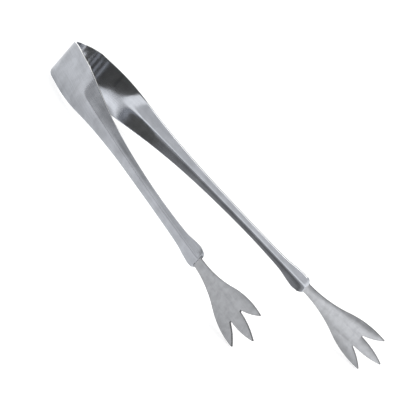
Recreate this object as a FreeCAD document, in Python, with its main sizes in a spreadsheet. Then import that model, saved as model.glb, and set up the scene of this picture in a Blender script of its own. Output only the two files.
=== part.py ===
"""Ice tongs: one stainless strip bent at a bow, with two troughed arms and two three-pronged claws.

Frame: X runs along the tongs, from the back of the bow to the tips of the claws, Y is the way the
arms open and Z is the width of the strip. The tongs lie on the edges of the strip, on Z = 0; the
origin is the middle of that footprint and Y = 0 is the plane of symmetry. Each piece is drawn
with X counted from the middle of the sheet at the back of the bow, and its Placement brings it to
the origin. Lengths along an arm are counted from its pivot, at the bow's end.
"""
import FreeCAD, Part
import math
import os
import Sketcher
from FreeCAD import Vector

doc = FreeCAD.newDocument("ice_tongs")
dims = doc.addObject("Spreadsheet::Sheet", "Dims")

# ---- driving sizes, millimetres and degrees ----
DRIVING = [
    ("strip_thick", 1.0),       # sheet thickness
    ("crown_width", 17.8),      # full width of the strip, at the blades
    ("bow_waist", 15.3),        # width at the back of the bow
    ("bow_radius", 10.7),       # middle of the sheet in the bend
    ("flare_angle", 22.9),      # arm direction where it leaves the bow
    ("arm_radius", 485.0),      # gentle outward curve of the arm
    ("pivot_gap", 0.03),        # running clearance of the flexing line
    ("blade_length", 8.0),      # flat flexing blade
    ("channel_length", 112.0),  # handle, folded into a trough
    ("shoulder_length", 12.9),  # where the trough runs out into two lobes
    ("claw_turn", 2.3),         # claw direction, turned out from the arm's end
    ("grip_width", 10.9),       # three tenths of the way down the handle
    ("waist_width", 6.5),       # half way down
    ("slim_width", 5.1),        # narrowest place
    ("trough_end_width", 6.0),
    ("lobe_width", 8.2),        # the two lobes at the shoulder
    ("neck_width", 4.1),
    ("fold_angle", 28.0),       # slope of the trough's flanks
    ("web_half", 0.9),          # half width of the trough's flat web
    ("claw_length", 44.7),
    ("prong_reach", 39.3),      # side prongs' tips, from the neck
    ("prong_half", 8.3),
    ("hollow_reach", 20.0),     # where the side of the claw turns from hollow to full
    ("hollow_half", 5.4),
    ("notch_reach", 31.6),      # bottoms of the two notches
    ("notch_half", 2.9),
    ("notch_round", 0.35),
    ("prong_tip", 0.45),        # width of a blunted prong tip
    ("hollow_curve", 60.0),     # radii of the claw's edges
    ("full_curve", 43.0),
    ("prong_curve", 26.0),
    ("centre_curve", 38.0),
]


def fill_sheet(sheet, rows):
    for row, (alias, value) in enumerate(rows, start=1):
        sheet.set("A%d" % row, alias.replace("_", " "))
        sheet.set("B%d" % row, str(value))
        sheet.setAlias("B%d" % row, alias)


fill_sheet(dims, DRIVING)
doc.recompute()


def size(alias):
    return float(getattr(dims, alias))


# ---- derived layout: expressions in terms of the sheet ----
TURN = "(180 / pi)"
MID_X = "Dims.bow_radius"
PIVOT_X = "(%s - Dims.bow_radius * sin(Dims.flare_angle))" % MID_X
PIVOT_Y = "(Dims.bow_radius * cos(Dims.flare_angle))"
MID_Z = "(Dims.crown_width / 2)"
SKIN = "(Dims.strip_thick / 2)"
CURVED = "(Dims.blade_length + Dims.channel_length * 0.91)"


def evaluate(text):
    """Value of an expression of the sheet, in millimetres or degrees."""
    result = dims.evalExpression(text)
    return float(getattr(result, "Value", result))


def station(along):
    """Expressions of X, Y and direction of the arm's middle line at a distance from its pivot."""
    arc = "min(%s; %s)" % (along, CURVED)
    rest = "max(0; %s - %s)" % (along, CURVED)
    angle = "(Dims.flare_angle - %s * %s / Dims.arm_radius)" % (TURN, arc)
    sweep_x = "Dims.arm_radius * (sin(Dims.flare_angle) - sin(%s))" % angle
    sweep_y = "Dims.arm_radius * (cos(%s) - cos(Dims.flare_angle))" % angle
    x = "(%s + %s + %s * cos(%s))" % (PIVOT_X, sweep_x, rest, angle)
    y = "(%s + %s + %s * sin(%s))" % (PIVOT_Y, sweep_y, rest, angle)
    return x, y, angle


# ---- sketch helpers ----
def plane(body, role):
    return [f for f in body.Origin.OriginFeatures if f.Role == role][0]


def new_sketch(body, name, role):
    sketch = body.newObject("Sketcher::SketchObject", name)
    sketch.AttachmentSupport = [(plane(body, role), "")]
    sketch.MapMode = "FlatFace"
    return sketch


def place(sketch, offset, angle=None):
    """Bind a sketch's offset from its plane, and its turn about its own vertical axis."""
    sketch.AttachmentOffset = FreeCAD.Placement(Vector(0, 0, 0), FreeCAD.Rotation(Vector(0, 1, 0), 1.0))
    if angle is None:
        sketch.AttachmentOffset = FreeCAD.Placement()
    else:
        sketch.setExpression("AttachmentOffset.Rotation.Angle", angle)
    for axis, text in zip("xyz", offset):
        sketch.setExpression("AttachmentOffset.Base." + axis, text)


def outline(sketch, corners, radii):
    """Closed outline through corner expressions; radii[i] curves the side after corner i.

    A positive radius bows the side to the right of the walk, a negative one to the left.
    """
    points = [Vector(evaluate(u), evaluate(v), 0) for u, v in corners]
    sides = []
    count = len(points)
    for i in range(count):
        first = points[i]
        last = points[(i + 1) % count]
        if radii[i] is None:
            sides.append(sketch.addGeometry(Part.LineSegment(first, last)))
            continue
        text, sign = radii[i]
        radius = evaluate(text)
        chord = last - first
        half = chord.Length / 2
        rise = radius - math.sqrt(radius * radius - half * half)
        aside = Vector(chord.y, -chord.x, 0)
        aside.normalize()
        middle = (first + last) * 0.5 + aside * (rise * sign)
        sides.append(sketch.addGeometry(Part.Arc(first, middle, last)))

    def end_of(side, point):
        near = (sketch.getPoint(side, 1) - point).Length
        far = (sketch.getPoint(side, 2) - point).Length
        return 1 if near < far else 2

    for i in range(count):
        before = sides[i - 1]
        corner = points[i]
        here = end_of(sides[i], corner)
        there = end_of(before, corner)
        sketch.addConstraint(Sketcher.Constraint("Coincident", before, there, sides[i], here))
        for kind, text, value in (("DistanceX", corners[i][0], corner.x), ("DistanceY", corners[i][1], corner.y)):
            number = sketch.addConstraint(Sketcher.Constraint(kind, -1, 1, sides[i], here, value))
            sketch.setExpression("Constraints[%d]" % number, text)
    for i in range(count):
        if radii[i] is not None:
            text = radii[i][0]
            number = sketch.addConstraint(Sketcher.Constraint("Radius", sides[i], evaluate(text)))
            sketch.setExpression("Constraints[%d]" % number, text)
    return sides


def circle(sketch, x, y, radius):
    """Circle bound to expressions of its centre and radius."""
    centre = Vector(evaluate(x), evaluate(y), 0)
    ring = sketch.addGeometry(Part.Circle(centre, Vector(0, 0, 1), evaluate(radius)))
    for kind, text, value in (("DistanceX", x, centre.x), ("DistanceY", y, centre.y)):
        number = sketch.addConstraint(Sketcher.Constraint(kind, -1, 1, ring, 3, value))
        sketch.setExpression("Constraints[%d]" % number, text)
    number = sketch.addConstraint(Sketcher.Constraint("Radius", ring, evaluate(radius)))
    sketch.setExpression("Constraints[%d]" % number, radius)


def section(body, name, along, width, fold="0", rise="0"):
    """Cross-section of the strip, a flat web between two flanks folded towards Y = 0.

    fold is the flanks' slope. rise is the share of the trough's depth by which the web stands
    out of the arm's middle line; the rims stand in by the rest.
    """
    sketch = new_sketch(body, name, "YZ_Plane")
    x, y, angle = station(along)
    place(sketch, (y, MID_Z, x), angle)
    half = "(%s / 2)" % width
    depth = "(tan(%s) * (%s - Dims.web_half))" % (fold, half)
    web = "(%s + %s * %s)" % (SKIN, depth, rise)
    inner_web = "(%s - Dims.strip_thick)" % web
    inner_half = "(Dims.web_half - Dims.strip_thick * tan(%s / 2))" % fold
    rim = "(%s - %s)" % (web, depth)
    inner_rim = "(%s - Dims.strip_thick * cos(%s))" % (rim, fold)
    inner_rim_half = "(%s - Dims.strip_thick * sin(%s))" % (half, fold)
    upper = [
        (web, "Dims.web_half"), (rim, half), (inner_rim, inner_rim_half), (inner_web, inner_half),
    ]
    lower = [(u, "(-%s)" % v) for u, v in reversed(upper)]
    outline(sketch, upper + lower, [None] * 8)
    return sketch


def loft(body, name, sections):
    feature = body.newObject("PartDesign::AdditiveLoft", name)
    feature.Profile = sections[0]
    feature.Sections = sections[1:]
    feature.Ruled = False
    return feature


# ---- the bow: a bend of more than half a turn, ending in two flexing lines ----
bow = doc.addObject("PartDesign::Body", "bow")
bow.Label = "bow_spring"
bow_side = new_sketch(bow, "bow_side", "XY_Plane")
outer_bend = "(Dims.bow_radius + Dims.strip_thick / 2)"
inner_bend = "(Dims.bow_radius - Dims.strip_thick / 2)"
bend_corners = []
for bend, way in ((outer_bend, 1), (outer_bend, -1), (inner_bend, -1), (inner_bend, 1)):
    x = "(%s - %s * sin(Dims.flare_angle))" % (MID_X, bend)
    y = "(%d * %s * cos(Dims.flare_angle))" % (way, bend)
    bend_corners.append((x, y))
outline(bow_side, bend_corners, [(outer_bend, 1), None, (inner_bend, -1), None])
bow_pad = bow.newObject("PartDesign::Pad", "bow_pad")
bow_pad.Profile = bow_side
bow_pad.setExpression("Length", "Dims.crown_width")
seat_sketch = new_sketch(bow, "pivot_seats", "XY_Plane")
for way in ("", "-"):
    circle(seat_sketch, PIVOT_X, way + PIVOT_Y, "(Dims.strip_thick / 2 + Dims.pivot_gap)")
seats = bow.newObject("PartDesign::Pocket", "seats")
seats.Profile = seat_sketch
seats.Type = "ThroughAll"
seats.Reversed = True
doc.recompute()
blank_volume = seats.Shape.Volume

# both edges of the strip curve in to the waist at the back of the bow
waist_sketch = new_sketch(bow, "waist_cuts", "YZ_Plane")
place(waist_sketch, ("0", MID_Z, "0"))
CUT_DEEP = "((Dims.crown_width - Dims.bow_waist) / 2)"
WAIST_CURVE = "((%s ^ 2 + %s ^ 2) / (2 * %s))" % (PIVOT_Y, CUT_DEEP, CUT_DEEP)
FULL_HALF = "(Dims.crown_width / 2)"
OVER = "(Dims.crown_width / 2 + 1)"
for way, bulge in (("", 1), ("-", -1)):
    cut = [("-" + PIVOT_Y, way + FULL_HALF), (PIVOT_Y, way + FULL_HALF),
           (PIVOT_Y, way + OVER), ("-" + PIVOT_Y, way + OVER)]
    outline(waist_sketch, cut, [(WAIST_CURVE, bulge), None, None, None])
waist = bow.newObject("PartDesign::Pocket", "waist")
waist.Profile = waist_sketch
waist.Type = "ThroughAll"
waist.Midplane = True

# ---- one arm, on the +Y side; the other is its mirror image ----
BLADE_END = "Dims.blade_length"
TROUGH_END = "(Dims.blade_length + Dims.channel_length)"
NECK = "(Dims.blade_length + Dims.channel_length + Dims.shoulder_length)"


def part_way(start, length, share):
    return "(%s + %s * %s)" % (start, length, share)


blade = doc.addObject("PartDesign::Body", "blade")
blade.Label = "right_blade"
knuckle_sketch = new_sketch(blade, "knuckle_sketch", "XY_Plane")
circle(knuckle_sketch, PIVOT_X, PIVOT_Y, SKIN)
knuckle = blade.newObject("PartDesign::Pad", "knuckle")
knuckle.Profile = knuckle_sketch
knuckle.setExpression("Length", "Dims.crown_width")
blade_side = new_sketch(blade, "blade_side", "XY_Plane")
blade_corners = []
for along, way in (("0", "-"), (BLADE_END, "-"), (BLADE_END, ""), ("0", "")):
    x, y, angle = station(along)
    corner_x = "(%s - (%s%s) * sin(%s))" % (x, way, SKIN, angle)
    corner_y = "(%s + (%s%s) * cos(%s))" % (y, way, SKIN, angle)
    blade_corners.append((corner_x, corner_y))
inner_sweep = "(Dims.arm_radius - %s)" % SKIN
outer_sweep = "(Dims.arm_radius + %s)" % SKIN
outline(blade_side, blade_corners, [(inner_sweep, -1), None, (outer_sweep, 1), None])
blade_pad = blade.newObject("PartDesign::Pad", "blade_pad")
blade_pad.Profile = blade_side
blade_pad.setExpression("Length", "Dims.crown_width")

channel = doc.addObject("PartDesign::Body", "channel")
channel.Label = "right_channel"
# name, share of the channel's length, width, share of the fold, rise of the web
CHANNEL_PLAN = [
    ("channel_start", 0.0, "Dims.crown_width", 0.0, 0.0),
    ("channel_near", 0.027, "(Dims.crown_width * 0.9945)", 0.0, 0.0),
    ("channel_flat", 0.054, "(Dims.crown_width * 0.982)", 0.0, 0.0),
    ("channel_dart", 0.103, "(Dims.crown_width * 0.938)", 0.10, 0.8),
    ("channel_a", 0.152, "(Dims.crown_width * 0.66 + Dims.grip_width * 0.34)", 0.45, 0.8),
    ("channel_b", 0.205, "(Dims.crown_width * 0.4 + Dims.grip_width * 0.6)", 0.75, 0.72),
    ("channel_c", 0.295, "Dims.grip_width", 0.85, 0.55),
    ("channel_d", 0.41, "(Dims.grip_width * 0.4 + Dims.waist_width * 0.6)", 0.92, 0.35),
    ("channel_e", 0.532, "Dims.waist_width", 1.0, 0.1),
    ("channel_f", 0.66, "(Dims.waist_width * 0.35 + Dims.slim_width * 0.65)", 1.0, 0.0),
    ("channel_g", 0.80, "Dims.slim_width", 1.0, 0.0),
    ("channel_h", 0.93, "(Dims.slim_width * 0.7 + Dims.trough_end_width * 0.3)", 1.0, 0.0),
    ("channel_end", 1.0, "Dims.trough_end_width", 1.0, 0.0),
]
channel_sections = []
for name, share, width, fold, rise in CHANNEL_PLAN:
    along = part_way(BLADE_END, "Dims.channel_length", share)
    slope = "(Dims.fold_angle * %s)" % fold
    channel_sections.append(section(channel, name, along, width, slope, str(rise)))
loft(channel, "channel_loft", channel_sections)

shoulder = doc.addObject("PartDesign::Body", "shoulder")
shoulder.Label = "right_shoulder"
SHOULDER_PLAN = [
    ("shoulder_start", 0.0, "Dims.trough_end_width", 1.0),
    ("shoulder_a", 0.35, "(Dims.trough_end_width * 0.4 + Dims.lobe_width * 0.6)", 1.0),
    ("shoulder_lobe", 0.68, "Dims.lobe_width", 0.9),
    ("shoulder_b", 0.90, "(Dims.lobe_width * 0.75 + Dims.neck_width * 0.25)", 0.55),
    ("shoulder_neck", 1.0, "Dims.neck_width", 0.0),
]
shoulder_sections = []
for name, share, width, fold in SHOULDER_PLAN:
    along = part_way(TROUGH_END, "Dims.shoulder_length", share)
    slope = "(Dims.fold_angle * %s)" % fold
    shoulder_sections.append(section(shoulder, name, along, width, slope))
loft(shoulder, "shoulder_loft", shoulder_sections)

claw = doc.addObject("PartDesign::Body", "claw")
claw.Label = "right_claw"
claw_sketch = new_sketch(claw, "claw_outline", "XZ_Plane")
neck_x, neck_y, arm_angle = station(NECK)
CLAW_ANGLE = "(%s + Dims.claw_turn)" % arm_angle
# the claw's outer face starts level with the outer face of the shoulder
face_x = "(%s - Dims.strip_thick / 2 * sin(%s))" % (neck_x, arm_angle)
face_y = "(%s + Dims.strip_thick / 2 * cos(%s))" % (neck_y, arm_angle)
place(claw_sketch, (face_x, MID_Z, "-" + face_y), CLAW_ANGLE)
half_outline = [
    ("0", "(Dims.neck_width / 2)"),
    ("Dims.hollow_reach", "Dims.hollow_half"),
    ("Dims.prong_reach", "Dims.prong_half"),
    ("Dims.prong_reach", "(Dims.prong_half - Dims.prong_tip)"),
    ("Dims.notch_reach", "(Dims.notch_half + Dims.notch_round)"),
    ("Dims.notch_reach", "(Dims.notch_half - Dims.notch_round)"),
    ("Dims.claw_length", "(Dims.prong_tip / 2)"),
]
half_curves = [
    ("Dims.hollow_curve", -1),
    ("Dims.full_curve", 1),
    ("(Dims.prong_tip * 0.6)", 1),
    ("Dims.prong_curve", 1),
    ("(Dims.notch_round * 1.01)", -1),
    ("Dims.centre_curve", 1),
]
# walked with the metal on the left, so that bows outwards are to the right
lower_half = [(u, "(-%s)" % v) for u, v in half_outline]
upper_half = list(reversed(half_outline))
claw_corners = lower_half + upper_half
claw_radii = half_curves + [("(Dims.prong_tip * 0.6)", 1)] + list(reversed(half_curves)) + [None]
outline(claw_sketch, claw_corners, claw_radii)
claw_pad = claw.newObject("PartDesign::Pad", "claw_pad")
claw_pad.Profile = claw_sketch
claw_pad.setExpression("Length", "Dims.strip_thick")


# ---- the origin goes to the middle of the footprint ----
tip_x = "(%s + Dims.claw_length * cos(%s) + Dims.strip_thick * sin(%s))" % (face_x, CLAW_ANGLE, CLAW_ANGLE)
middle_row = len(DRIVING) + 2
dims.set("A%d" % middle_row, "middle of the length")
dims.set("B%d" % middle_row, "=(%s - %s) / 2" % (tip_x.replace("Dims.", ""), SKIN.replace("Dims.", "")))
dims.setAlias("B%d" % middle_row, "middle_reach")
doc.recompute()
ARM = [blade, channel, shoulder, claw]
for body in [bow] + ARM:
    body.setExpression("Placement.Base.x", "-Dims.middle_reach")
doc.recompute()

# ---- the other arm ----
mirrored = []
for body in ARM:
    twin = doc.addObject("Part::Mirroring", body.Name + "_mirror")
    twin.Source = body
    twin.Normal = Vector(0, 1, 0)
    twin.Base = Vector(0, 0, 0)
    twin.Label = body.Label.replace("right_", "left_")
    mirrored.append(twin)
doc.recompute()

# ---- checks, then one file for each piece ----
for item in doc.Objects:
    faults = [state for state in item.State if state in ("Invalid", "Error")]
    if faults:
        raise RuntimeError("%s failed: %s" % (item.Label, faults))

ring = math.pi * size("bow_radius") * 2 * size("strip_thick") * size("crown_width")
bend_share = (180 - 2 * size("flare_angle")) / 360
if not 0.9 * ring * bend_share < blank_volume < ring * bend_share:
    raise RuntimeError("the bow's pivot seats were not cut")
if not bow.Shape.Volume < 0.97 * blank_volume:
    raise RuntimeError("the bow's waist was not cut")

os.makedirs("parts", exist_ok=True)
for piece in [bow] + ARM + mirrored:
    shape = piece.Shape
    if shape.isNull() or not shape.isValid() or len(shape.Solids) != 1:
        raise RuntimeError(piece.Label + " is not one valid solid")
    box = shape.BoundBox
    corners = (box.XMin, box.XMax, box.YMin, box.YMax, box.ZMin, box.ZMax)
    print(piece.Label, round(shape.Volume, 2), [round(corner, 3) for corner in corners])
    shape.exportStep("parts/%s.step" % piece.Label)
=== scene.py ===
"""Ice tongs: the looks of a one-piece stainless strip, bent at a bow, with troughed arms and claws."""

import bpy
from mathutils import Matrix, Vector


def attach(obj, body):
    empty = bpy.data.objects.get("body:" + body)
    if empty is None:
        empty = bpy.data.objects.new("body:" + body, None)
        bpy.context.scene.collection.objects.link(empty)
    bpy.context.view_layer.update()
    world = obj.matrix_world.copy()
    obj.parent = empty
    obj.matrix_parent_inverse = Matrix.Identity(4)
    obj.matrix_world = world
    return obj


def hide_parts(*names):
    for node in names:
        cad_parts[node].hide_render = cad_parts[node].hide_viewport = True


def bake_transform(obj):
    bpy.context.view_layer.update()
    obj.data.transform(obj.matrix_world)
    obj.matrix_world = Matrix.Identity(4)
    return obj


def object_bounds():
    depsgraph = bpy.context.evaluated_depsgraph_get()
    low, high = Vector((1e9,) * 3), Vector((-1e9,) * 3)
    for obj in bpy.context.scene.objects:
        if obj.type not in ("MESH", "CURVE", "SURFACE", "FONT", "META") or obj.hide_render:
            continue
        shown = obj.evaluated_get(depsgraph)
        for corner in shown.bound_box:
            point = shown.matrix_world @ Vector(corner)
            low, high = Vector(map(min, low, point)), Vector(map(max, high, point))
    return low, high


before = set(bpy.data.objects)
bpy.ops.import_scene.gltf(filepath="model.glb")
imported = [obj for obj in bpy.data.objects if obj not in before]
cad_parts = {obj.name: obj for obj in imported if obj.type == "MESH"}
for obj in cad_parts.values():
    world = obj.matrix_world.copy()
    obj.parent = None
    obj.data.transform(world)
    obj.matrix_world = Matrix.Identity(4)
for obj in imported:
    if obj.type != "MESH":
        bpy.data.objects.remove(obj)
CAD_BOX = [list(corner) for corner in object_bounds()]
ORIGIN_X = CAD_BOX[0][0] + 0.0005      # the middle of the sheet at the back of the bow

import math

import bmesh
import bpy
from bpy.props import FloatProperty, FloatVectorProperty, PointerProperty
from bpy.types import Operator, Panel, PropertyGroup
from mathutils import Euler, Vector

bl_info = {
    "name": "Ice tongs",
    "version": (1, 0, 0),
    "blender": (4, 5, 0),
    "location": "View3D > Sidebar > Tongs",
    "description": "Builds the metal of a pair of one-piece ice tongs, its steel and its studio",
    "category": "Add Mesh",
}


class TongsSizes(PropertyGroup):
    """Sizes of the bent strip, at the object's real size."""

    thickness: FloatProperty(
        name="Sheet", description="Thickness of the steel sheet", default=0.001, unit="LENGTH"
    )
    crown_width: FloatProperty(
        name="Strip width", description="Full width of the strip, at the blades",
        default=0.0178, unit="LENGTH",
    )
    bow_waist: FloatProperty(
        name="Bow waist", description="Width at the back of the bow", default=0.0153, unit="LENGTH"
    )
    bow_radius: FloatProperty(
        name="Bow radius", description="Bend radius at the middle of the sheet",
        default=0.0107, unit="LENGTH",
    )
    flare: FloatProperty(
        name="Flare", description="Direction of an arm where it leaves the bow",
        default=math.radians(22.9), subtype="ANGLE",
    )
    arm_radius: FloatProperty(
        name="Arm curve", description="Radius of the gentle curve of an arm", default=0.485, unit="LENGTH"
    )
    curved_length: FloatProperty(
        name="Curved length", description="Length of the arm that follows the curve",
        default=0.10992, unit="LENGTH",
    )
    arm_length: FloatProperty(
        name="Arm", description="Length of an arm from the bow to the neck", default=0.1329, unit="LENGTH"
    )
    blade_length: FloatProperty(
        name="Blade", description="Flat flexing length next to the bow", default=0.008, unit="LENGTH"
    )
    fold_angle: FloatProperty(
        name="Fold", description="Slope of the trough's flanks", default=math.radians(28), subtype="ANGLE"
    )
    web_half: FloatProperty(
        name="Web", description="Half width of the rounded web of the trough", default=0.0009, unit="LENGTH"
    )
    neck_width: FloatProperty(
        name="Neck", description="Width of the neck between shoulder and claw",
        default=0.0041, unit="LENGTH",
    )
    claw_turn: FloatProperty(
        name="Claw turn", description="Angle by which a claw turns out from its arm",
        default=math.radians(2.3), subtype="ANGLE",
    )
    edge_round: FloatProperty(
        name="Broken edge", description="Width of the bevel on the sheet's edges",
        default=0.0002, unit="LENGTH",
    )


class TongsFinish(PropertyGroup):
    """Colours and surface values of the steel and the studio."""

    steel: FloatVectorProperty(
        name="Steel", description="Colour of the bright steel",
        default=(0.372, 0.386, 0.416), subtype="COLOR",
    )
    satin: FloatVectorProperty(
        name="Satin steel", description="Colour of the satin claws",
        default=(0.350, 0.357, 0.373), subtype="COLOR",
    )
    steel_rough: FloatProperty(
        name="Bright roughness", description="Roughness of the arms and bow", default=0.16, min=0.0, max=1.0
    )
    satin_rough: FloatProperty(
        name="Satin roughness", description="Roughness of the claws", default=0.36, min=0.0, max=1.0
    )
    floor: FloatVectorProperty(
        name="Floor", description="Colour of the floor", default=(0.93, 0.93, 0.93), subtype="COLOR"
    )


# ---- the strip's shape ----

# distance along an arm from the end of the bow, width of the strip, both in millimetres, share of
# the fold, and the share of the trough's depth by which the web stands out of the arm's line
STRIP = [
    (0.0, 17.80, 0.0, 0.8), (8.0, 17.80, 0.0, 0.8), (14.0, 17.48, 0.0, 0.8), (19.5, 16.70, 0.10, 0.8),
    (25.0, 15.45, 0.45, 0.8), (31.0, 13.66, 0.75, 0.72), (41.0, 10.90, 0.85, 0.55),
    (54.0, 8.26, 0.92, 0.35), (67.6, 6.50, 1.0, 0.10), (82.0, 5.59, 1.0, 0.0), (97.6, 5.10, 1.0, 0.0),
    (112.2, 5.37, 1.0, 0.0), (120.0, 6.00, 1.0, 0.0), (124.5, 7.32, 1.0, 0.0), (128.0, 8.15, 0.97, 0.0),
]
LOBE_START = 0.0048     # the lobes close over this length before the neck
FLAT_START = 0.0046     # and the trough flattens over this one
LOBE_POWER = 2.6        # how squarely the lobes close
FLAT_POWER = 2.4        # how squarely the trough ends
NECK_PLAIN = 0.002      # the rims are left square over this length before the neck
ON_SEAM = 2e-6          # how near a point lies to the plane of a joint between two pieces
ON_BOW_SEAM = 2e-5      # the same at the ends of the bow, whose bend tilts its last points
CLAW_BEVEL = 0.6        # a claw's bevel as a share of the strip's, because its tips are small
RIM_ANGLE = math.radians(55)        # edges of the strip turning by more than this are its rims
CLAW_RIM_ANGLE = math.radians(70)   # the same on a claw
SHARP_ANGLE = math.radians(38)      # shading breaks at edges turning by more than this
FLAT_SIDE = 1e-4        # in square metres; a larger face is a claw's flat side, not its rim
SAME_POINT = 1e-7       # points nearer than this are one point

# rows and columns of the sheets' grids
BOW_ROWS = 72           # in half of the bow
BOW_COLUMNS = 20
ARM_COLUMNS = 24
FORMING = 0.040         # the trough forms over this length of the arm
FORMING_ROWS = 110
SLIM_ROWS = 150
LOBES = 0.0065          # closer rows start this far before the neck
LOBE_ROWS = 40


def spread(start, end, count):
    """Evenly spaced values from start to end."""
    return [start + (end - start) * k / count for k in range(count + 1)]


def along_table(reach, column):
    """Smooth curve through one column of the strip's table."""
    at = min(max(reach, STRIP[0][0]), STRIP[-1][0])
    i = 0
    while i < len(STRIP) - 2 and at > STRIP[i + 1][0]:
        i += 1

    def slope(k):
        before = STRIP[max(k - 1, 0)]
        after = STRIP[min(k + 1, len(STRIP) - 1)]
        return (after[column] - before[column]) / (after[0] - before[0])

    h = STRIP[i + 1][0] - STRIP[i][0]
    t = (at - STRIP[i][0]) / h
    low = slope(i) if i else 0.0
    return (
        STRIP[i][column] * (2 * t**3 - 3 * t**2 + 1) + low * h * (t**3 - 2 * t**2 + t)
        + STRIP[i + 1][column] * (3 * t**2 - 2 * t**3) + slope(i + 1) * h * (t**3 - t**2)
    )


def strip_width(sizes, along):
    """Full width of the strip at a distance from the end of the bow."""
    if along < 0:
        _, y, _ = middle_line(sizes, along)
        span = sizes.bow_radius * math.cos(sizes.flare)
        cut = (sizes.crown_width - sizes.bow_waist) / 2
        curve = (span * span + cut * cut) / (2 * cut)
        return sizes.bow_waist + 2 * (curve - math.sqrt(curve * curve - min(y, span) ** 2))
    reach = along * 1000
    limit = (sizes.arm_length - LOBE_START) * 1000
    width = min(along_table(min(reach, limit), 1), STRIP[0][1])
    if reach > limit:
        u = min((reach - limit) / (LOBE_START * 1000), 1.0)
        neck = sizes.neck_width * 1000
        width = neck + (width - neck) * math.sqrt(max(0.0, 1 - u**LOBE_POWER))
    return width / 1000


def middle_line(sizes, along):
    """Point and direction of the sheet's middle at a distance from the end of the bow."""
    bend = sizes.bow_radius
    if along < 0:
        turn = sizes.flare - along / bend
        return ORIGIN_X + bend - bend * math.sin(turn), bend * math.cos(turn), turn
    x = ORIGIN_X + bend - bend * math.sin(sizes.flare)
    y = bend * math.cos(sizes.flare)
    curved = min(along, sizes.curved_length)
    rest = along - curved
    turn = sizes.flare - curved / sizes.arm_radius
    x += sizes.arm_radius * (math.sin(sizes.flare) - math.sin(turn)) + rest * math.cos(turn)
    y += sizes.arm_radius * (math.cos(turn) - math.cos(sizes.flare)) + rest * math.sin(turn)
    return x, y, turn


def past_station(sizes, along, point):
    """How far a point lies past the plane across the strip at a distance from the end of the bow."""
    x, y, turn = middle_line(sizes, along)
    return (point.x - x) * math.cos(turn) + (abs(point.y) - y) * math.sin(turn)


def strip_point(sizes, along, across, side):
    """Point in the middle of the sheet. across runs -1..1 from the lower rim to the upper one."""
    x, y, turn = middle_line(sizes, along)
    half = strip_width(sizes, along) / 2
    inward = 0.0
    if along > 0:
        reach = along * 1000
        slope = math.tan(sizes.fold_angle * along_table(reach, 2))
        limit = sizes.arm_length - FLAT_START
        if along > limit:
            slope *= math.sqrt(max(0.0, 1 - ((along - limit) / FLAT_START) ** FLAT_POWER))
        soft = sizes.web_half

        def drop(v):
            return slope * (math.sqrt(v * v + soft * soft) - soft)

        inward = drop(across * half) - along_table(reach, 3) * drop(half)
    x += math.sin(turn) * inward
    y -= math.cos(turn) * inward
    z = sizes.crown_width / 2 + across * half
    return Vector((x, y * side, z))


def mark_rim_for_painted_light(bm, bevelled):
    """Note the sheet's broken edges and cut walls, where the materials paint a highlight on bright steel
    and shade on satin steel.
    """
    rim = bm.loops.layers.float.new("rim")
    touched = {vert for face in bevelled for vert in face.verts}
    for face in bm.faces:
        if all(vert in touched for vert in face.verts) and face.calc_area() < FLAT_SIDE:
            for loop in face.loops:
                loop[rim] = 1.0


def break_edges(bm, edges, width):
    """Bevel the rims of a piece and mark them."""
    result = bmesh.ops.bevel(
        bm, geom=edges, offset=width, offset_type="OFFSET", segments=2, profile=0.5,
        affect="EDGES", material=-1, clamp_overlap=True,
    )
    mark_rim_for_painted_light(bm, result["faces"])


def finish_sheet(bm, sizes, seam_ends):
    """Give a formed sheet its thickness and break its long edges, not the ends it is joined by."""
    bm.normal_update()
    half = sizes.thickness / 2
    for vert in list(bm.verts):
        vert.co += vert.normal * half
    bmesh.ops.solidify(bm, geom=bm.faces[:], thickness=sizes.thickness)
    bmesh.ops.recalc_face_normals(bm, faces=bm.faces)
    bm.normal_update()
    sharp = []
    for edge in bm.edges:
        if len(edge.link_faces) == 2 and edge.calc_face_angle() > RIM_ANGLE:
            if not seam_ends(edge):
                sharp.append(edge)
    break_edges(bm, sharp, sizes.edge_round)


def sheet_mesh(name, sizes, stations, columns, side):
    """A blank sheet, formed row by row onto the strip's shape."""
    rows = len(stations) - 1
    bm = bmesh.new()
    bmesh.ops.create_grid(bm, x_segments=rows, y_segments=columns, size=0.5)
    uv_layer = bm.loops.layers.uv.new("strip")
    first, last = stations[0], stations[-1]
    for vert in bm.verts:
        row = round((vert.co.x + 0.5) * rows)
        column = (vert.co.y + 0.5) * 2 - 1
        vert.co = Vector((stations[row], column, 0))
    for face in bm.faces:
        for loop in face.loops:
            along, across = loop.vert.co.x, loop.vert.co.y
            loop[uv_layer].uv = (along, across * strip_width(sizes, along) / 2)
    for vert in bm.verts:
        vert.co = strip_point(sizes, vert.co.x, vert.co.y, side)
    bmesh.ops.recalc_face_normals(bm, faces=bm.faces)

    def seam_ends(edge):
        ends = [vert.co for vert in edge.verts]
        if past_station(sizes, last - NECK_PLAIN, (ends[0] + ends[1]) / 2) > 0:
            return True
        return any(
            all(abs(past_station(sizes, along, end)) < ON_SEAM for end in ends)
            for along in (first, last)
        )

    finish_sheet(bm, sizes, seam_ends)
    return make_object(name, bm)


def make_object(name, bm):
    """Close a mesh, turn its faces outward and put it in the scene."""
    mesh = bpy.data.meshes.new(name)
    bmesh.ops.remove_doubles(bm, verts=bm.verts, dist=SAME_POINT)
    bmesh.ops.recalc_face_normals(bm, faces=bm.faces)
    if bm.calc_volume(signed=True) < 0:
        bmesh.ops.reverse_faces(bm, faces=bm.faces)
    bm.to_mesh(mesh)
    bm.free()
    mesh.shade_smooth()
    mesh.set_sharp_from_angle(angle=SHARP_ANGLE)
    piece = bpy.data.objects.new(name, mesh)
    bpy.context.scene.collection.objects.link(piece)
    return piece


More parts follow.
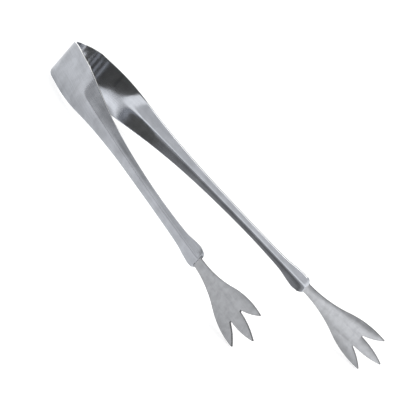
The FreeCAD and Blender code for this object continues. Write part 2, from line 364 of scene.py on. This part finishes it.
# half of a claw's outline, from the neck to the centre prong: reach, half width and radius of the
# side that follows, in millimetres, and the way that side bows
CLAW_SIDE = [
    (0.0, 2.05, 60.0, -1), (20.0, 5.4, 43.0, 1), (39.3, 8.3, 0.27, 1), (39.3, 7.85, 26.0, 1),
    (31.6, 3.25, 0.354, -1), (31.6, 2.55, 38.0, 1), (44.7, 0.225, 0.27, 1),
]
SHORT_SIDE = 0.002      # the round tips and the roots between the prongs are shorter than this
SIDE_CUTS = 28
TIP_CUTS = 6
ON_LINE = 1e-8          # how near a point lies to the straight side that it was cut from


def claw_outline(bm):
    """Edges of the claw's flat blank, with arcs between its few corners."""
    lower = [(reach, -half, radius, way) for reach, half, radius, way in CLAW_SIDE]
    upper = []
    for k in range(len(CLAW_SIDE) - 1, -1, -1):
        reach, half, _, _ = CLAW_SIDE[k]
        radius, way = CLAW_SIDE[k - 1][2:] if k else (None, 0)
        upper.append((reach, half, radius, way))
    corners = lower + upper
    points = [Vector((reach / 1000, half / 1000, 0)) for reach, half, _, _ in corners]
    verts = [bm.verts.new(point) for point in points]
    for i, vert in enumerate(verts):
        bm.edges.new((vert, verts[(i + 1) % len(verts)]))
    sides = [edge for edge in bm.edges if edge.calc_length() > SHORT_SIDE]
    tips = [edge for edge in bm.edges if edge.calc_length() <= SHORT_SIDE]
    bmesh.ops.subdivide_edges(bm, edges=sides, cuts=SIDE_CUTS)
    bmesh.ops.subdivide_edges(bm, edges=tips, cuts=TIP_CUTS)
    added = [vert for vert in bm.verts if all((vert.co - point).length > ON_LINE for point in points)]
    for i, (_, _, radius, way) in enumerate(corners):
        if radius is None:
            continue
        start = points[i]
        chord = points[(i + 1) % len(points)] - start
        length = chord.length
        along = chord / length
        aside = Vector((along.y, -along.x, 0))
        bend = radius / 1000
        hub = math.sqrt(bend * bend - length * length / 4)
        for vert in list(added):
            t = (vert.co - start).dot(along)
            if 0 < t < length and abs((vert.co - start).dot(aside)) < ON_LINE:
                vert.co += aside * way * (math.sqrt(max(0.0, bend**2 - (t - length / 2) ** 2)) - hub)
                added.remove(vert)


def claw_mesh(name, sizes, side):
    """Flat blank of a claw, thickened, with broken edges, turned onto the end of its arm."""
    bm = bmesh.new()
    claw_outline(bm)
    face = bmesh.ops.contextual_create(bm, geom=bm.edges[:])["faces"][0]
    uv_layer = bm.loops.layers.uv.new("strip")
    raised = bmesh.ops.extrude_face_region(bm, geom=[face])
    lifted = [g for g in raised["geom"] if isinstance(g, bmesh.types.BMVert)]
    bmesh.ops.translate(bm, verts=lifted, vec=(0, 0, sizes.thickness))
    bmesh.ops.recalc_face_normals(bm, faces=bm.faces)
    sharp = []
    for edge in bm.edges:
        if len(edge.link_faces) == 2 and edge.calc_face_angle() > CLAW_RIM_ANGLE:
            if abs(edge.verts[0].co.z - edge.verts[1].co.z) < SAME_POINT:
                sharp.append(edge)
    break_edges(bm, sharp, sizes.edge_round * CLAW_BEVEL)
    for face in bm.faces:
        for loop in face.loops:
            co = loop.vert.co
            loop[uv_layer].uv = (sizes.arm_length + co.x, co.y)
    x, y, turn = middle_line(sizes, sizes.arm_length)
    half = sizes.thickness / 2
    angle = turn + sizes.claw_turn
    start = Vector((x - half * math.sin(turn), y + half * math.cos(turn), sizes.crown_width / 2))
    along = Vector((math.cos(angle), math.sin(angle), 0))
    outward = Vector((-math.sin(angle), math.cos(angle), 0))
    for vert in bm.verts:
        co = vert.co.copy()
        vert.co = start + along * co.x + Vector((0, 0, co.y)) + outward * (co.z - sizes.thickness)
        vert.co.y *= side
    return make_object(name, bm)


# ---- materials ----

def node_group(name, inputs, outputs):
    """Empty node group with number inputs, and its two end nodes."""
    group = bpy.data.node_groups.new(name, "ShaderNodeTree")
    for label, default in inputs:
        socket = group.interface.new_socket(label, in_out="INPUT", socket_type="NodeSocketFloat")
        socket.default_value = default
    for label, kind in outputs:
        group.interface.new_socket(label, in_out="OUTPUT", socket_type=kind)
    entry = group.nodes.new("NodeGroupInput")
    leave = group.nodes.new("NodeGroupOutput")
    return group, entry, leave


def math_node(tree, operation, a, b):
    """Sum of two numbers or sockets, or another operation on them."""
    node = tree.nodes.new("ShaderNodeMath")
    node.operation = operation
    for socket, value in zip(node.inputs, (a, b)):
        if isinstance(value, (int, float)):
            socket.default_value = value
        else:
            tree.links.new(value, socket)
    return node.outputs[0]


def brushed_grain():
    """Fine lines along the strip: a height for the bump and a share for the roughness."""
    name = "Brushed grain"
    if name in bpy.data.node_groups:
        return bpy.data.node_groups[name]
    group, entry, leave = node_group(
        name, [("Across", 9000.0), ("Along", 160.0)],
        [("Height", "NodeSocketFloat"), ("Streak", "NodeSocketFloat")],
    )
    nodes, links = group.nodes, group.links
    layout = nodes.new("ShaderNodeUVMap")
    layout.uv_map = "strip"
    parts = nodes.new("ShaderNodeSeparateXYZ")
    links.new(layout.outputs["UV"], parts.inputs[0])
    joined = nodes.new("ShaderNodeCombineXYZ")
    links.new(math_node(group, "MULTIPLY", parts.outputs["X"], entry.outputs["Along"]), joined.inputs["X"])
    links.new(math_node(group, "MULTIPLY", parts.outputs["Y"], entry.outputs["Across"]), joined.inputs["Y"])
    lines = nodes.new("ShaderNodeTexNoise")
    lines.inputs["Scale"].default_value = 1.0
    lines.inputs["Detail"].default_value = 3.0
    lines.inputs["Roughness"].default_value = 0.6
    links.new(joined.outputs[0], lines.inputs["Vector"])
    streaks = nodes.new("ShaderNodeTexNoise")
    streaks.inputs["Scale"].default_value = 0.22
    streaks.inputs["Detail"].default_value = 2.0
    links.new(joined.outputs[0], streaks.inputs["Vector"])
    links.new(lines.outputs["Fac"], leave.inputs["Height"])
    links.new(streaks.outputs["Fac"], leave.inputs["Streak"])
    return group


def handling_marks():
    """Soft cloudy patches left by fingers and washing."""
    name = "Handling marks"
    if name in bpy.data.node_groups:
        return bpy.data.node_groups[name]
    group, entry, leave = node_group(name, [("Size", 70.0)], [("Mark", "NodeSocketFloat")])
    nodes, links = group.nodes, group.links
    place = nodes.new("ShaderNodeTexCoord")
    cloud = nodes.new("ShaderNodeTexNoise")
    cloud.inputs["Detail"].default_value = 4.0
    cloud.inputs["Distortion"].default_value = 0.6
    links.new(place.outputs["Object"], cloud.inputs["Vector"])
    links.new(entry.outputs["Size"], cloud.inputs["Scale"])
    links.new(cloud.outputs["Fac"], leave.inputs["Mark"])
    return group


def steel_material(name, colour, rim_highlight_and_shade, rough, grain, wear, bump, mark_size):
    """Brushed steel with marks of handling, and its broken edges painted in a rim colour, a painted
    highlight on bright steel and painted shade on the satin claws.
    """
    if name in bpy.data.materials:
        return bpy.data.materials[name]
    material = bpy.data.materials.new(name)
    material.use_nodes = True
    tree = material.node_tree
    nodes, links = tree.nodes, tree.links
    shader = nodes["Principled BSDF"]
    shader.inputs["Metallic"].default_value = 1.0
    shader.inputs["IOR"].default_value = 2.4
    lines = nodes.new("ShaderNodeGroup")
    lines.node_tree = brushed_grain()
    marks = nodes.new("ShaderNodeGroup")
    marks.node_tree = handling_marks()
    marks.inputs["Size"].default_value = mark_size
    rim = nodes.new("ShaderNodeAttribute")
    rim.attribute_name = "rim"
    tint = nodes.new("ShaderNodeValToRGB")
    tint.color_ramp.elements[0].position = 0.36
    tint.color_ramp.elements[1].position = 0.62
    tint.color_ramp.elements[0].color = (*[c * 0.84 for c in colour], 1)
    tint.color_ramp.elements[1].color = (*[min(c * 1.08, 1) for c in colour], 1)
    clouds = math_node(tree, "MULTIPLY", marks.outputs["Mark"], 0.65)
    fine = math_node(tree, "MULTIPLY", lines.outputs["Streak"], 0.35)
    links.new(math_node(tree, "ADD", clouds, fine), tint.inputs["Fac"])
    # the broken edges take the rim colour: a painted highlight on bright steel, painted shade on satin
    # steel
    painted_rim_light = nodes.new("ShaderNodeMix")
    painted_rim_light.data_type = "RGBA"
    links.new(rim.outputs["Fac"], painted_rim_light.inputs["Factor"])
    links.new(tint.outputs["Color"], painted_rim_light.inputs["A"])
    painted_rim_light.inputs["B"].default_value = (*rim_highlight_and_shade, 1)
    links.new(painted_rim_light.outputs["Result"], shader.inputs["Base Color"])
    streak_part = math_node(tree, "MULTIPLY", lines.outputs["Streak"], grain)
    mark_part = math_node(tree, "MULTIPLY", marks.outputs["Mark"], wear)
    sum_part = math_node(tree, "ADD", streak_part, mark_part)
    base_part = math_node(tree, "ADD", sum_part, rough - 0.5 * (grain + wear))
    edge_part = math_node(tree, "MULTIPLY", rim.outputs["Fac"], -0.3 * rough)
    links.new(math_node(tree, "ADD", base_part, edge_part), shader.inputs["Roughness"])
    relief = nodes.new("ShaderNodeBump")
    relief.inputs["Strength"].default_value = bump
    relief.inputs["Distance"].default_value = 0.00002
    links.new(lines.outputs["Height"], relief.inputs["Height"])
    links.new(relief.outputs["Normal"], shader.inputs["Normal"])
    return material


def bright_steel(finish):
    """Steel of the bow and the arms."""
    return steel_material(
        # the near-white rim colour is a painted highlight along the broken edges of the bow and arms
        "Bright steel", finish.steel, rim_highlight_and_shade=(0.95, 0.96, 0.97), rough=finish.steel_rough,
        grain=0.08, wear=0.10, bump=0.25, mark_size=150.0,
    )


def satin_steel(finish):
    """Steel of the claws."""
    return steel_material(
        # the dark rim colour is painted shade along the claws' broken edges
        "Satin steel", finish.satin, rim_highlight_and_shade=(0.14, 0.14, 0.145), rough=finish.satin_rough,
        grain=0.16, wear=0.16, bump=0.9, mark_size=420.0,
    )


# ---- studio ----

FLOOR_SIZE = 4.0
FLOOR_DROP = 0.00005    # the floor lies this far under the tongs
FLOOR_GLOW = 0.50       # keeps the shadows faint
KEY_LIGHT = {"place": (0.2, -1.3, 2.7), "width": 3.0, "power": 13}
SKY_STRENGTH = 1.2
# colour of the cards that paint dark reflections inside the bow
DARK_CARD_COLOUR = (0.20, 0.196, 0.185)
# glow of the card that paints a bright reflection on the steel
LIGHT_CARD_GLOW = 1.8
CAMERA_PLACE = (0.407343, -0.7562646, 0.2422395)
CAMERA_TURN = (70.0567, -40.3189, 40.859)      # in degrees
LENS = 187.0

# outlines of the dark cards between the arms, seen only in the steel, where they paint a dark reflection
# inside the bow: distance from the back of the bow, height, metres
DARK_CARDS = [
    ((0.0035, 0.000), (0.0098, 0.000), (0.0098, 0.030), (0.0035, 0.030)),
    ((0.0106, 0.001), (0.0122, 0.002), (0.0122, 0.030), (0.0106, 0.030)),
    (
        (0.0132, 0.002), (0.021, 0.0048), (0.031, 0.0052), (0.0345, 0.0088),
        (0.0395, 0.0108), (0.046, 0.020), (0.046, 0.030), (0.0132, 0.030),
    ),
]
# a dark card across the gap, and a light one lying in it, seen only in the steel as a painted dark
# reflection and a painted bright reflection: distance from the back, aside, height
CROSS_CARD = [
    (0.020, 0.0006, 0.0085), (0.020, 0.0085, 0.0085), (0.020, 0.0085, 0.020), (0.020, 0.0006, 0.020),
]
LIGHT_CARD = [(x, y, 0.0003) for x, y in (
    (0.018, -0.009), (0.060, -0.018), (0.130, -0.022), (0.200, -0.034),
    (0.200, 0.045), (0.140, 0.036), (0.060, 0.010), (0.018, 0.004),
)]


# ---- operators ----

class TONGS_OT_bow(Operator):
    """Bend the bow that springs the arms open"""

    bl_idname = "tongs.bow"
    bl_label = "Bow"

    def execute(self, context):
        sizes = context.scene.tongs_sizes
        quarter = (math.pi / 2 - sizes.flare) * sizes.bow_radius
        half_bow = spread(-quarter, 0.0, BOW_ROWS)
        bm = bmesh.new()
        bmesh.ops.create_grid(bm, x_segments=2 * BOW_ROWS, y_segments=BOW_COLUMNS, size=0.5)
        uv_layer = bm.loops.layers.uv.new("strip")
        for face in bm.faces:
            for loop in face.loops:
                co = loop.vert.co
                loop[uv_layer].uv = (co.x * 2 * quarter, co.y * sizes.crown_width)
        for vert in bm.verts:
            side = 1 if vert.co.x >= 0 else -1
            along = half_bow[round(abs(vert.co.x) * 2 * BOW_ROWS)]
            vert.co = strip_point(sizes, along, vert.co.y * 2, side)
        bmesh.ops.recalc_face_normals(bm, faces=bm.faces)

        def seam_ends(edge):
            return all(abs(past_station(sizes, 0.0, vert.co)) < ON_BOW_SEAM for vert in edge.verts)

        finish_sheet(bm, sizes, seam_ends)
        piece = make_object("bow_metal", bm)
        piece.data.materials.append(bright_steel(context.scene.tongs_finish))
        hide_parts("bow_spring")
        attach(piece, "bow")
        return {"FINISHED"}


class TONGS_OT_arms(Operator):
    """Form the two troughed arms, with the flat blades next to the bow"""

    bl_idname = "tongs.arms"
    bl_label = "Arms"

    def execute(self, context):
        sizes = context.scene.tongs_sizes
        material = bright_steel(context.scene.tongs_finish)
        lobe = sizes.arm_length - LOBES
        stations = spread(0.0, FORMING, FORMING_ROWS) + spread(FORMING, lobe, SLIM_ROWS)[1:]
        stations += [lobe + LOBES * math.sin(angle) for angle in spread(0.0, math.pi / 2, LOBE_ROWS)[1:]]
        for name, side in (("left", -1), ("right", 1)):
            piece = sheet_mesh(name + "_arm_metal", sizes, stations, ARM_COLUMNS, side)
            piece.data.materials.append(material)
            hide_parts(name + "_blade", name + "_channel", name + "_shoulder")
            sx, sy, _ = middle_line(sizes, 0.0)
            ex, ey, _ = middle_line(sizes, sizes.blade_length * 2)
            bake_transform(piece)
        return {"FINISHED"}


class TONGS_OT_claws(Operator):
    """Cut the two three-pronged claws and set them on the arms"""

    bl_idname = "tongs.claws"
    bl_label = "Claws"

    def execute(self, context):
        sizes = context.scene.tongs_sizes
        material = satin_steel(context.scene.tongs_finish)
        for name, side in (("left", -1), ("right", 1)):
            piece = claw_mesh(name + "_claw_metal", sizes, side)
            piece.data.materials.append(material)
            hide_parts(name + "_claw")
            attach(piece, name + "_arm")
        return {"FINISHED"}


class TONGS_OT_stage(Operator):
    """Set the floor, the soft light and the camera"""

    bl_idname = "tongs.stage"
    bl_label = "Stage"

    def execute(self, context):
        scene = context.scene
        scene.view_settings.view_transform = "Standard"
        floor_bm = bmesh.new()
        bmesh.ops.create_grid(floor_bm, x_segments=1, y_segments=1, size=FLOOR_SIZE)
        mesh = bpy.data.meshes.new("floor")
        floor_bm.to_mesh(mesh)
        floor_bm.free()
        floor = bpy.data.objects.new("floor", mesh)
        floor.location.z = -FLOOR_DROP
        scene.collection.objects.link(floor)
        paint = bpy.data.materials.new("Pale floor")
        paint.use_nodes = True
        shader = paint.node_tree.nodes["Principled BSDF"]
        shader.inputs["Base Color"].default_value = (*scene.tongs_finish.floor, 1)
        shader.inputs["Roughness"].default_value = 0.9
        shader.inputs["Specular IOR Level"].default_value = 0.1
        shader.inputs["Emission Color"].default_value = (1, 1, 1, 1)
        shader.inputs["Emission Strength"].default_value = FLOOR_GLOW
        mesh.materials.append(paint)

        scene.world = self.studio_world()
        self.soft_box(scene, "key", **KEY_LIGHT)
        between = [[(x, 0.0, z) for x, z in outline] for outline in DARK_CARDS]
        self.reflected_card(scene, "dark_card", between + [CROSS_CARD], DARK_CARD_COLOUR, 0)
        self.reflected_card(scene, "light_card", [LIGHT_CARD], (0, 0, 0), LIGHT_CARD_GLOW)

        lens = bpy.data.cameras.new("camera")
        lens.lens = LENS
        lens.sensor_width = 36
        lens.clip_start = 0.01
        lens.clip_end = 50
        camera = bpy.data.objects.new("camera", lens)
        camera.location = CAMERA_PLACE
        camera.rotation_euler = Euler([math.radians(angle) for angle in CAMERA_TURN], "XYZ")
        scene.collection.objects.link(camera)
        scene.camera = camera
        return {"FINISHED"}

    @staticmethod
    def studio_world():
        """Dim overhead, bright behind and in two soft windows, so steel shows light and dark sides."""
        world = bpy.data.worlds.new("Studio")
        world.use_nodes = True
        tree = world.node_tree
        sky = tree.nodes["Background"]
        place = tree.nodes.new("ShaderNodeTexCoord")

        def glow(direction, stops):
            """Brightness by how far the view turns towards a direction."""
            facing = tree.nodes.new("ShaderNodeVectorMath")
            facing.operation = "DOT_PRODUCT"
            tree.links.new(place.outputs["Generated"], facing.inputs[0])
            facing.inputs[1].default_value = direction
            ramp = tree.nodes.new("ShaderNodeValToRGB")
            marks = ramp.color_ramp.elements
            marks[0].position, marks[0].color = stops[0][0], (*[stops[0][1]] * 3, 1)
            marks[1].position, marks[1].color = stops[-1][0], (*[stops[-1][1]] * 3, 1)
            for position, value in stops[1:-1]:
                marks.new(position).color = (value, value, value, 1)
            tree.links.new(facing.outputs["Value"], ramp.inputs["Fac"])
            return ramp.outputs["Color"]

        up = glow((0, 0, 1), (
            (0.0, 0.85), (0.04, 0.60), (0.20, 0.54), (0.345, 0.44),
            (0.43, 0.20), (0.52, 0.19), (0.62, 0.48), (1.0, 0.32),
        ))
        behind = glow((0, 1, 0), ((0.05, 0.0), (0.35, 0.95)))
        window = glow((-0.62, -0.56, 0.55), ((0.90, 0.0), (0.94, 0.12), (0.965, 0.5), (0.99, 0.92)))
        low_window = glow((-0.765, -0.604, 0.222), ((0.976, 0.0), (0.986, 0.45), (0.993, 0.95)))
        level = up
        for other in (behind, window, low_window):
            level = math_node(tree, "MAXIMUM", level, other)
        tree.links.new(level, sky.inputs["Color"])
        sky.inputs["Strength"].default_value = SKY_STRENGTH
        return world

    @staticmethod
    def reflected_card(scene, name, outlines, colour, glow):
        """Flat cards that the camera doesn't see, only their reflection in the steel."""
        bm = bmesh.new()
        for outline in outlines:
            verts = [bm.verts.new((ORIGIN_X + x, y, z)) for x, y, z in outline]
            edges = [bm.edges.new((vert, verts[(i + 1) % len(verts)])) for i, vert in enumerate(verts)]
            bmesh.ops.contextual_create(bm, geom=edges)
        mesh = bpy.data.meshes.new(name)
        bm.to_mesh(mesh)
        bm.free()
        card = bpy.data.objects.new(name, mesh)
        scene.collection.objects.link(card)
        paint = bpy.data.materials.new(name.replace("_", " ").capitalize())
        paint.use_nodes = True
        shader = paint.node_tree.nodes["Principled BSDF"]
        shader.inputs["Base Color"].default_value = (*colour, 1)
        if glow:
            shader.inputs["Emission Color"].default_value = (1, 1, 1, 1)
            shader.inputs["Emission Strength"].default_value = glow
        else:
            shader.inputs["Roughness"].default_value = 1.0
            shader.inputs["Specular IOR Level"].default_value = 0.0
        mesh.materials.append(paint)
        card.visible_camera = False
        card.visible_diffuse = False
        card.visible_shadow = False

    @staticmethod
    def soft_box(scene, name, place, width, power):
        """Square light aimed at the tongs, left out of reflections."""
        light = bpy.data.lights.new(name, "AREA")
        light.shape = "SQUARE"
        light.size = width
        light.energy = power
        lamp = bpy.data.objects.new(name, light)
        lamp.location = place
        lamp.rotation_euler = Vector(place).to_track_quat("Z", "Y").to_euler()
        lamp.visible_glossy = False
        scene.collection.objects.link(lamp)


class TONGS_PT_panel(Panel):
    """Lists the pieces and their sizes"""

    bl_label = "Ice tongs"
    bl_idname = "TONGS_PT_panel"
    bl_space_type = "VIEW_3D"
    bl_region_type = "UI"
    bl_category = "Tongs"

    def draw(self, context):
        layout = self.layout
        for group in (context.scene.tongs_sizes, context.scene.tongs_finish):
            for name in group.__annotations__:
                layout.prop(group, name)
        for step in STEPS:
            layout.operator(step.bl_idname)


STEPS = (TONGS_OT_bow, TONGS_OT_arms, TONGS_OT_claws, TONGS_OT_stage)
CLASSES = (TongsSizes, TongsFinish) + STEPS + (TONGS_PT_panel,)


def register():
    for cls in CLASSES:
        bpy.utils.register_class(cls)
    bpy.types.Scene.tongs_sizes = PointerProperty(type=TongsSizes)
    bpy.types.Scene.tongs_finish = PointerProperty(type=TongsFinish)


def unregister():
    del bpy.types.Scene.tongs_finish
    del bpy.types.Scene.tongs_sizes
    for cls in reversed(CLASSES):
        bpy.utils.unregister_class(cls)


def main():
    register()
    bpy.ops.tongs.bow()
    bpy.ops.tongs.arms()
    bpy.ops.tongs.claws()
    bpy.ops.tongs.stage()


if __name__ == "__main__":
    main()
